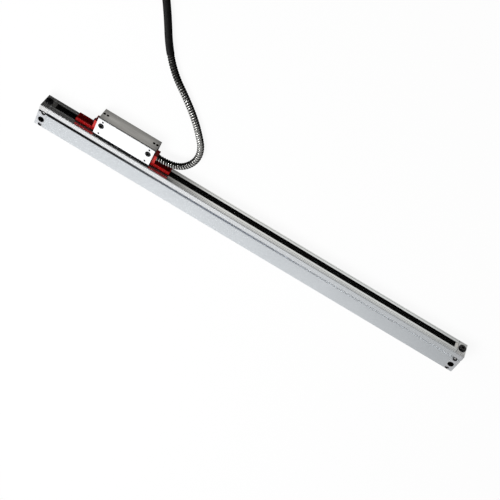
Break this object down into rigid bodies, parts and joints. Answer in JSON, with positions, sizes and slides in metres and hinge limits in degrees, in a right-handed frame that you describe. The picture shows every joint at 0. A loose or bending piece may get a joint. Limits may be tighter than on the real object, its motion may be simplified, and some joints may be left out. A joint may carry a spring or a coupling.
{
  "type": "linear glass scale",
  "caption": "Sealed linear glass scale: slotted aluminium housing with a sliding reader head, red transport brackets and an armoured cable ending in a nine-pole plug.",
  "frame": {"origin": "centre of the scale unit's mounting face, which lies on the surface", "axes": "+X along the scale, towards the end nearer the reader head; -Y out of the slot face, towards the reader head; +Z out of the broad face with the mounting holes"},
  "size_m": [0.49, 0.3575, 0.0361],
  "materials": {
    "anodised_grey": "fine satin anodised extrusion",
    "end_block_grey": "fine satin anodised blocks",
    "gasket_rubber": "thin black flat gasket",
    "end_seal": "thin pale grey sealing sheet",
    "scale_glass": "polished float glass",
    "seal_rubber": "black flexible lip",
    "bright_steel": "bright polished steel",
    "black_steel": "black oxide steel screws",
    "head_grey": "brushed and anodised grey",
    "cover_white": "pale smooth cover plate",
    "board_green": "circuit board with parts",
    "carriage_alloy": "machined alloy",
    "roller_steel": "ground steel",
    "clear_optic": "clear optical glass",
    "red_plastic": "moulded red plastic",
    "armour": "spiral wound silvery armour",
    "hood_grey": "grey satin hood",
    "shell_steel": "plated steel shell",
    "insert_black": "black moulded insert",
    "gold_pins": "gilt contact pins"
  },
  "bodies": {
    "root": {"scale_housing": "anodised_grey", "end_block_left": "end_block_grey", "end_block_right": "end_block_grey", "end_gasket_left": "end_seal", "end_gasket_right": "end_seal", "glass_scale": "scale_glass", "glass_clamp_cord": "gasket_rubber", "upper_seal_lip": "seal_rubber", "lower_seal_lip": "seal_rubber", "lip_clamps": "bright_steel", "slot_face_screws": "black_steel", "end_screws": "black_steel", "air_inlet_rings": "black_steel", "air_inlet_pins": "bright_steel", "buffer_left": "gasket_rubber", "buffer_right": "gasket_rubber"},
    "reader_head": {"blade": "roller_steel", "blade_screws": "black_steel", "bracket_left": "red_plastic", "bracket_right": "red_plastic", "bracket_screw": "black_steel", "cable": "armour", "cable_coil": "armour", "cable_ferrule": "armour", "cable_tail": "armour", "carriage_frame": "carriage_alloy", "collimator_lens": "clear_optic", "cover_gasket": "gasket_rubber", "cover_screws": "black_steel", "detector_board": "board_green", "emitter": "clear_optic", "head_block": "head_grey", "head_cover": "cover_white", "head_mount_screws": "black_steel", "hood_screws": "shell_steel", "index_grating": "clear_optic", "plug_hood": "hood_grey", "plug_hood_lid": "hood_grey", "plug_insert": "insert_black", "plug_nut": "shell_steel", "plug_pins": "gold_pins", "plug_shell": "shell_steel", "roller_pins": "roller_steel", "signal_board": "board_green"},
    "face_roller_1_body": {"face_roller_1": "roller_steel"},
    "face_roller_2_body": {"face_roller_2": "roller_steel"},
    "face_roller_3_body": {"face_roller_3": "roller_steel"},
    "edge_roller_1_body": {"edge_roller_1": "roller_steel"},
    "edge_roller_2_body": {"edge_roller_2": "roller_steel"},
    "thumbscrew_left_body": {"thumbscrew_left": "shell_steel"},
    "thumbscrew_right_body": {"thumbscrew_right": "shell_steel"}
  },
  "joints": [
    {"name": "head_slide", "type": "slide", "parent": "root", "child": "reader_head", "axis": [1, 0, 0], "range_m": [-0.3302, 0.0198]},
    {"name": "face_roller_1_spin", "type": "hinge", "parent": "reader_head", "child": "face_roller_1_body", "pos_m": [0.1352, -0.002, 0.01225], "axis": [0, 1, 0], "continuous": true},
    {"name": "face_roller_2_spin", "type": "hinge", "parent": "reader_head", "child": "face_roller_2_body", "pos_m": [0.1752, -0.002, 0.01225], "axis": [0, 1, 0], "continuous": true},
    {"name": "face_roller_3_spin", "type": "hinge", "parent": "reader_head", "child": "face_roller_3_body", "pos_m": [0.1552, 0.0025, 0.01225], "axis": [0, 1, 0], "continuous": true},
    {"name": "edge_roller_1_spin", "type": "hinge", "parent": "reader_head", "child": "edge_roller_1_body", "pos_m": [0.1362, -0.00625, 0.0091], "axis": [0, 0, 1], "continuous": true},
    {"name": "edge_roller_2_spin", "type": "hinge", "parent": "reader_head", "child": "edge_roller_2_body", "pos_m": [0.1742, -0.00625, 0.0091], "axis": [0, 0, 1], "continuous": true},
    {"name": "thumbscrew_left_turn", "type": "hinge", "parent": "reader_head", "child": "thumbscrew_left_body", "pos_m": [0.20651, -0.32095, 0.0286], "axis": [-0.8278, -0.5611, 0], "continuous": true},
    {"name": "thumbscrew_right_turn", "type": "hinge", "parent": "reader_head", "child": "thumbscrew_right_body", "pos_m": [0.19249, -0.30025, 0.0286], "axis": [-0.8278, -0.5611, 0], "continuous": true}
  ],
  "couplings": [
    {"joint": "face_roller_1_spin", "follows": "head_slide", "rad_per_m": 500},
    {"joint": "face_roller_2_spin", "follows": "head_slide", "rad_per_m": 500},
    {"joint": "face_roller_3_spin", "follows": "head_slide", "rad_per_m": 500},
    {"joint": "edge_roller_1_spin", "follows": "head_slide", "rad_per_m": 500},
    {"joint": "edge_roller_2_spin", "follows": "head_slide", "rad_per_m": 500}
  ]
}
